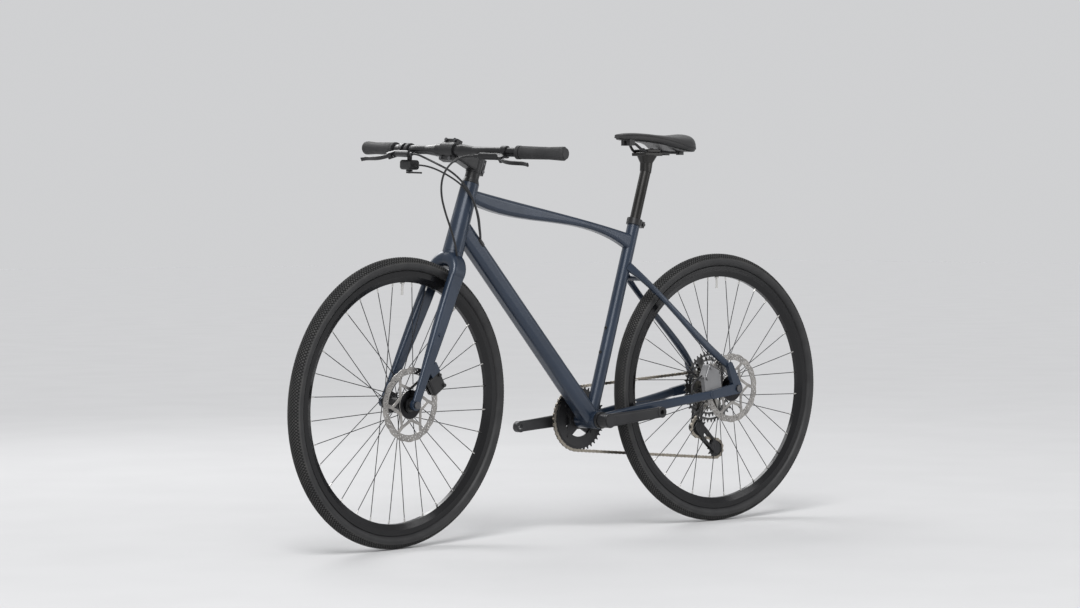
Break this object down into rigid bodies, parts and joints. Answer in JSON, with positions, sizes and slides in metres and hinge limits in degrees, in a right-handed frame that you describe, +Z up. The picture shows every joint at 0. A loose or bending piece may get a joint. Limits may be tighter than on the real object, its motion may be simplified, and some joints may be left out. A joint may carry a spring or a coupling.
{
  "type": "hybrid bike",
  "caption": "Flat-bar hybrid bike with a rigid fork, disc brakes, a single chainring and a rear derailleur; it steers, rolls, pedals and brakes.",
  "frame": {"origin": "on the ground, midway between the two axles", "axes": "+X towards the front wheel, +Y to the rider's left, +Z up"},
  "size_m": [1.738, 0.684, 1.0098],
  "materials": {
    "frame_paint": "satin dark blue",
    "black_alloy": "satin black",
    "rim_black": "gloss black",
    "crank_grey": "satin dark grey",
    "tyre_rubber": "matt black",
    "grip_rubber": "matt black",
    "hose_black": "satin black",
    "brake_black": "satin black",
    "black_plastic": "matt black",
    "saddle_cover": "matt black",
    "dark_steel": "dark",
    "bright_steel": "brushed",
    "caliper_grey": "satin grey",
    "pad_dark": "matt"
  },
  "bodies": {
    "frame": {"head_tube": "frame_paint", "top_tube": "frame_paint", "down_tube": "frame_paint", "seat_tube": "frame_paint", "bottom_bracket_shell": "frame_paint", "chainstays": "frame_paint", "seatstays": "frame_paint", "dropouts": "frame_paint", "frame_fittings": "black_plastic", "headset_bearings": "dark_steel", "bottom_bracket_cups": "black_alloy", "seat_clamp": "black_alloy", "rear_thru_axle": "dark_steel", "rear_brake_caliper": "caliper_grey", "rear_cables": "hose_black", "derailleur_body": "dark_steel", "chain": "bright_steel"},
    "steering": {"fork": "frame_paint", "headset_spacers": "black_alloy", "stem": "black_alloy", "stem_faceplate": "black_alloy", "stem_hardware": "dark_steel", "handlebar": "black_alloy", "left_grip": "grip_rubber", "right_grip": "grip_rubber", "brake_perches": "brake_black", "shifter_body": "black_plastic", "front_thru_axle": "dark_steel", "front_brake_caliper": "caliper_grey", "front_brake_hose": "hose_black", "rear_brake_hose": "hose_black", "shift_cable": "hose_black"},
    "front_wheel": {"front_tyre": "tyre_rubber", "front_rim": "rim_black", "front_spokes": "dark_steel", "front_hub": "black_alloy", "front_rotor": "bright_steel"},
    "rear_wheel": {"rear_tyre": "tyre_rubber", "rear_rim": "rim_black", "rear_spokes": "dark_steel", "rear_hub": "black_alloy", "rear_rotor": "bright_steel"},
    "crankset": {"left_crank": "crank_grey", "right_crank": "crank_grey", "chainring": "crank_grey"},
    "cassette": {"cassette": "bright_steel"},
    "derailleur_cage": {"derailleur_cage": "dark_steel"},
    "guide_pulley": {"guide_pulley": "black_plastic"},
    "tension_pulley": {"tension_pulley": "black_plastic"},
    "left_brake_lever": {"left_brake_lever": "brake_black"},
    "right_brake_lever": {"right_brake_lever": "brake_black"},
    "shift_thumb_lever": {"shift_thumb_lever": "black_plastic"},
    "shift_release_lever": {"shift_release_lever": "black_plastic"},
    "front_pad_outer": {"front_pad_outer": "pad_dark"},
    "front_pad_inner": {"front_pad_inner": "pad_dark"},
    "rear_pad_outer": {"rear_pad_outer": "pad_dark"},
    "rear_pad_inner": {"rear_pad_inner": "pad_dark"},
    "seat": {"seatpost": "black_alloy", "saddle_base": "black_plastic", "saddle": "saddle_cover"}
  },
  "joints": [
    {"name": "steering", "type": "hinge", "parent": "frame", "child": "steering", "pos_m": [0.3531, 0, 0.70988], "axis": [-0.309, 0, 0.9511], "range_deg": [-67.5, 52.5], "deforming": ["rear_brake_hose", "shift_cable"]},
    {"name": "front_wheel_spin", "type": "hinge", "parent": "steering", "child": "front_wheel", "pos_m": [0.52011, 0.00626, 0.34987], "axis": [-0.1241, 0.9914, -0.0403], "continuous": true},
    {"name": "rear_wheel_spin", "type": "hinge", "parent": "frame", "child": "rear_wheel", "pos_m": [-0.5205, 0, 0.35], "axis": [0, 1, 0], "continuous": true},
    {"name": "crank_spin", "type": "hinge", "parent": "frame", "child": "crankset", "pos_m": [-0.08447, 0, 0.284], "axis": [0, 1, 0], "continuous": true, "deforming": ["chain"]},
    {"name": "cassette_spin", "type": "hinge", "parent": "frame", "child": "cassette", "pos_m": [-0.5205, 0, 0.35], "axis": [0, 1, 0], "continuous": true},
    {"name": "cage_pivot", "type": "hinge", "parent": "frame", "child": "derailleur_cage", "pos_m": [-0.4965, -0.045, 0.242], "axis": [0, -1, 0], "range_deg": [0, 20], "stiffness_Nm_per_rad": 2, "deforming": ["chain"]},
    {"name": "guide_pulley_spin", "type": "hinge", "parent": "derailleur_cage", "child": "guide_pulley", "pos_m": [-0.4965, -0.045, 0.242], "axis": [0, 1, 0], "continuous": true},
    {"name": "tension_pulley_spin", "type": "hinge", "parent": "derailleur_cage", "child": "tension_pulley", "pos_m": [-0.55738, -0.045, 0.18412], "axis": [0, 1, 0], "continuous": true},
    {"name": "left_brake_lever", "type": "hinge", "parent": "steering", "child": "left_brake_lever", "pos_m": [0.36506, 0.20287, 0.93161], "axis": [0.4155, 0.169, 0.8938], "range_deg": [0, 18], "stiffness_Nm_per_rad": 1.5},
    {"name": "right_brake_lever", "type": "hinge", "parent": "steering", "child": "right_brake_lever", "pos_m": [0.41241, -0.17528, 0.94699], "axis": [-0.4354, -0.0106, -0.9002], "range_deg": [0, 18], "stiffness_Nm_per_rad": 1.5},
    {"name": "shift_thumb_lever", "type": "hinge", "parent": "steering", "child": "shift_thumb_lever", "pos_m": [0.38153, -0.13681, 0.91115], "axis": [0.0025, -0.0403, -0.9992], "range_deg": [0, 35], "stiffness_Nm_per_rad": 0.3},
    {"name": "shift_release_lever", "type": "hinge", "parent": "steering", "child": "shift_release_lever", "pos_m": [0.38153, -0.13681, 0.91115], "axis": [-0.0025, 0.0403, 0.9992], "range_deg": [0, 12], "stiffness_Nm_per_rad": 0.3},
    {"name": "front_pad_outer", "type": "slide", "parent": "steering", "child": "front_pad_outer", "axis": [0.1241, -0.9914, 0.0403], "range_m": [0, 0.00035]},
    {"name": "front_pad_inner", "type": "slide", "parent": "steering", "child": "front_pad_inner", "axis": [-0.1241, 0.9914, -0.0403], "range_m": [0, 0.00035]},
    {"name": "rear_pad_outer", "type": "slide", "parent": "frame", "child": "rear_pad_outer", "axis": [0, -1, 0], "range_m": [0, 0.00035]},
    {"name": "rear_pad_inner", "type": "slide", "parent": "frame", "child": "rear_pad_inner", "axis": [0, 1, 0], "range_m": [0, 0.00035]},
    {"name": "seatpost_slide", "type": "slide", "parent": "frame", "child": "seat", "axis": [-0.2857, 0, 0.9583], "range_m": [-0.1, 0.06]}
  ],
  "couplings": [
    {"joint": "cassette_spin", "follows": "crank_spin", "ratio": 2},
    {"joint": "guide_pulley_spin", "follows": "crank_spin", "ratio": -3.3333},
    {"joint": "tension_pulley_spin", "follows": "crank_spin", "ratio": 3.3333},
    {"joint": "front_pad_outer", "follows": "left_brake_lever", "m_per_rad": 0.0011141},
    {"joint": "front_pad_inner", "follows": "left_brake_lever", "m_per_rad": 0.0011141},
    {"joint": "rear_pad_outer", "follows": "right_brake_lever", "m_per_rad": 0.0011141},
    {"joint": "rear_pad_inner", "follows": "right_brake_lever", "m_per_rad": 0.0011141}
  ]
}
